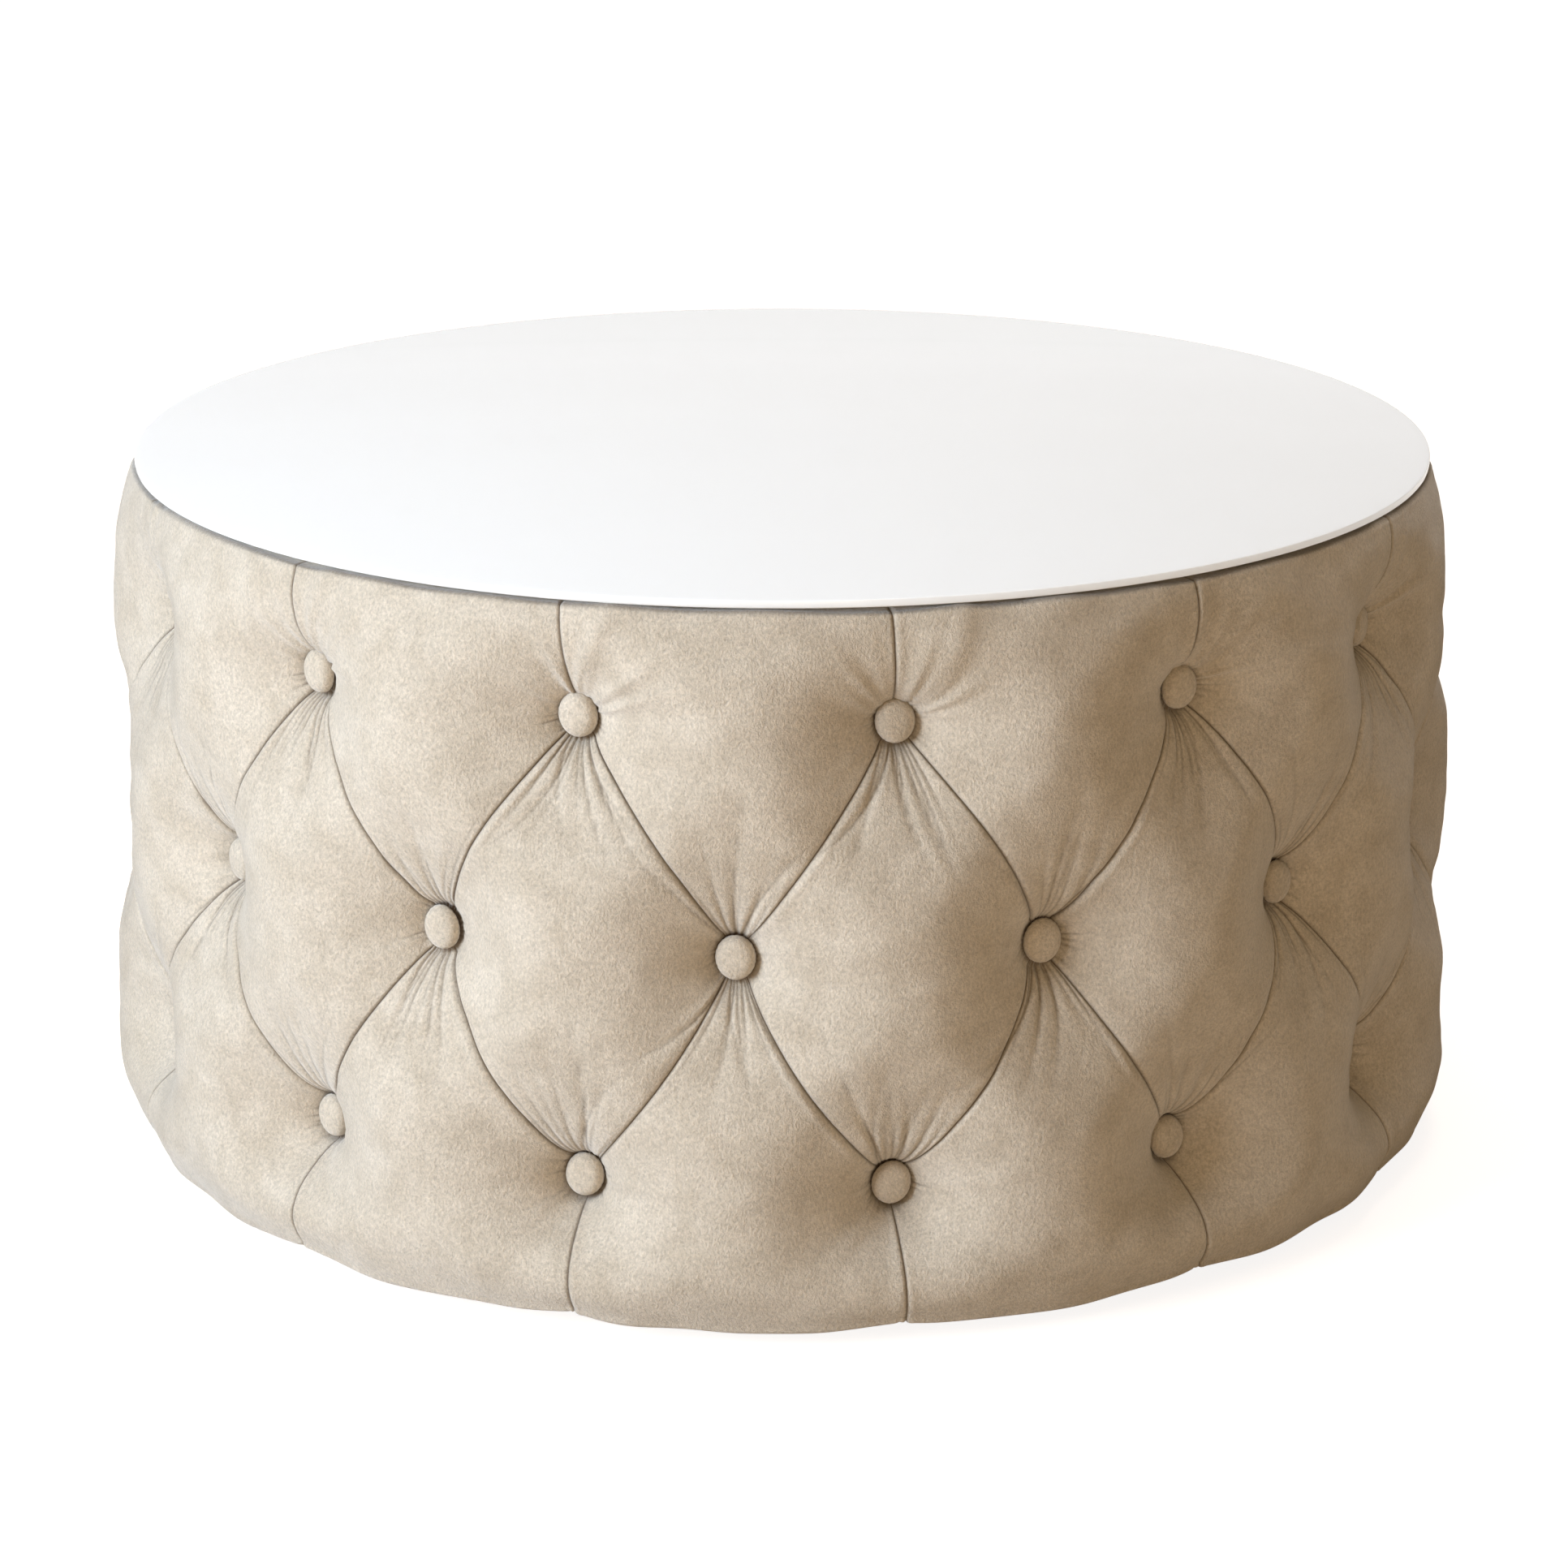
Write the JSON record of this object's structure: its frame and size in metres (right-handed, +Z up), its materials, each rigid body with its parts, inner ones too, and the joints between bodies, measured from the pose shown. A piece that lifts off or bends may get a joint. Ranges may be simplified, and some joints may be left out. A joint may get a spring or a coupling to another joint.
{
  "type": "ottoman coffee table",
  "caption": "Round drum-shaped ottoman coffee table with a deep diamond-tufted velvet wall, covered buttons and a loose white glass top.",
  "frame": {"origin": "on the floor, under the centre of the drum", "axes": "+Z up, -Y towards the front, the glass and the drum are round about Z"},
  "size_m": [0.7938, 0.7952, 0.41],
  "materials": {
    "clear_glass": "polished tempered glass with a fine ground arris",
    "white_film": "opaque white film on the underside of the glass",
    "clear_rubber": "clear soft pad",
    "velvet": "cream velvet with a short brushed nap",
    "foam": "cut polyurethane foam",
    "felt": "pressed grey felt",
    "lining": "thin woven lining",
    "black_lining": "thin black non-woven dust cloth",
    "hardboard": "smooth brown hardboard",
    "plywood": "sanded plywood",
    "pine": "planed softwood",
    "zinc_steel": "zinc-plated steel",
    "black_plastic": "moulded black plastic",
    "button_metal": "pressed metal shell",
    "twine": "waxed nylon twine",
    "toggle_plastic": "moulded washer"
  },
  "bodies": {
    "base": {"glass_pads": "clear_rubber", "wall_cover": "velvet", "wall_foam": "foam", "top_felt": "felt", "top_lining": "lining", "dust_cover": "black_lining", "wall_panel": "hardboard", "top_board": "plywood", "base_ring": "plywood", "posts": "pine", "frame_screws": "zinc_steel", "feet": "black_plastic", "foot_screws": "zinc_steel", "staples": "zinc_steel", "panel_nails": "zinc_steel", "lower_buttons": "velvet", "middle_buttons": "velvet", "upper_buttons": "velvet", "button_cores": "button_metal", "button_shanks": "button_metal", "button_twines": "twine", "twine_toggles": "toggle_plastic"},
    "glass": {"glass_top": "clear_glass", "white_backing": "white_film"}
  },
  "joints": [
    {"name": "glass_lift", "type": "slide", "parent": "base", "child": "glass", "axis": [0, 0, 1], "range_m": [0, 0.12]}
  ]
}
